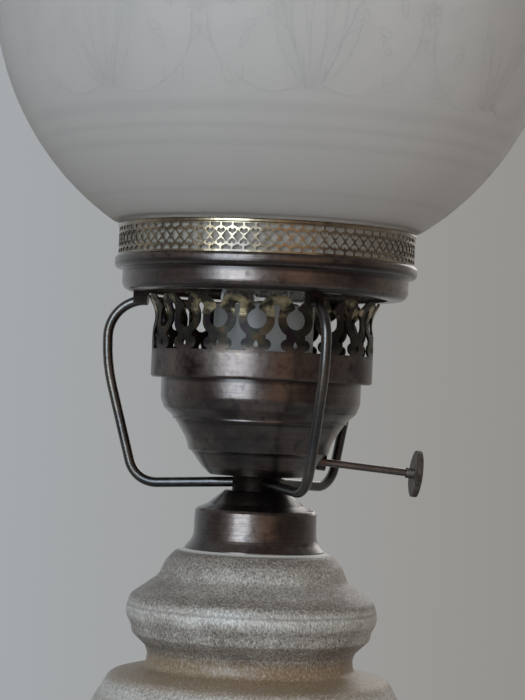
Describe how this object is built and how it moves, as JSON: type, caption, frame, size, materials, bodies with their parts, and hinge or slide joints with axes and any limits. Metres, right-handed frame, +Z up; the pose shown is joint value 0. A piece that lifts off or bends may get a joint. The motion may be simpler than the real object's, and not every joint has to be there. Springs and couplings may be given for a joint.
{
  "type": "table lamp",
  "caption": "Electric table lamp in oil-lamp style: round frosted glass globe in a pierced gallery ring on bent wire arms, pierced crown burner, key switch and turned ceramic body.",
  "frame": {"origin": "centre of the felt ring's underside, where the lamp stands", "axes": "+Z up along the lamp's axis, +X to the side of the key, -Y toward the viewer"},
  "size_m": [0.1955, 0.1956, 0.4653],
  "materials": {
    "felt": "short pile, dark green",
    "steel": "zinc plated",
    "glaze": "matt speckled grey-beige glaze, browner in the hollows",
    "rubber": "matt",
    "white_plastic": "matt",
    "bronze": "antique bronze patina, satin",
    "bronze_wire": "antique bronze patina, satin",
    "gallery_brass": "rubbed antique brass",
    "holder_grey": "satin",
    "porcelain": "glazed",
    "contact_brass": "plain",
    "dark_plastic": "moulded",
    "knob_metal": "antique bronze, rubbed on the rim",
    "solder": "soldered",
    "black_glass": "gloss",
    "cap_metal": "bright",
    "clear_glass": "clear",
    "lead_wire": "nickel",
    "tungsten": "dark",
    "frosted_glass": "satin frosted with clear etched ornament"
  },
  "bodies": {
    "lamp": {"felt_ring": "felt", "base_plate": "steel", "base_washer": "steel", "base_nut": "steel", "threaded_tube": "steel", "ceramic_body": "glaze", "cord_grommet": "rubber", "neck_washer": "white_plastic", "collar": "bronze", "arm_hub": "bronze", "arm_left": "bronze_wire", "arm_front": "bronze_wire", "arm_back": "bronze_wire", "ring_lugs": "bronze", "shade_ring": "bronze", "gallery_strip": "gallery_brass", "burner_bowl": "bronze", "burner_crown": "bronze", "bowl_nut": "steel", "holder_cup": "holder_grey", "holder_skirt": "holder_grey", "holder_insulator": "porcelain", "thread_shell": "contact_brass", "centre_contact": "contact_brass", "terminal_screws": "steel", "switch_block": "dark_plastic", "switch_contacts": "contact_brass", "switch_bush": "contact_brass"},
    "key": {"switch_rotor": "dark_plastic", "key_shaft": "bronze_wire", "key_knob": "knob_metal"},
    "bulb_contact_piece": {"bulb_contact": "solder"},
    "bulb": {"bulb_insulator": "black_glass", "bulb_cap": "cap_metal", "bulb_glass": "clear_glass", "bulb_stem": "clear_glass", "bulb_leads": "lead_wire", "bulb_filament": "tungsten"},
    "globe": {"glass_globe": "frosted_glass"}
  },
  "joints": [
    {"name": "key_turn", "type": "hinge", "parent": "lamp", "child": "key", "pos_m": [0, 0, 0.2163], "axis": [0.9888, 0.1214, -0.0872], "continuous": true},
    {"name": "globe_lift", "type": "slide", "parent": "lamp", "child": "globe", "axis": [0, 0, 1], "range_m": [0, 0.09]},
    {"name": "bulb_rise", "type": "slide", "parent": "lamp", "child": "bulb_contact_piece", "axis": [0, 0, 1], "range_m": [0, 0.01634]},
    {"name": "bulb_turn", "type": "hinge", "parent": "bulb_contact_piece", "child": "bulb", "pos_m": [0, 0, 0.2397], "axis": [0, 0, 1], "range_deg": [0, 1620]}
  ],
  "couplings": [
    {"joint": "bulb_rise", "follows": "bulb_turn", "m_per_rad": 0.00057773}
  ]
}
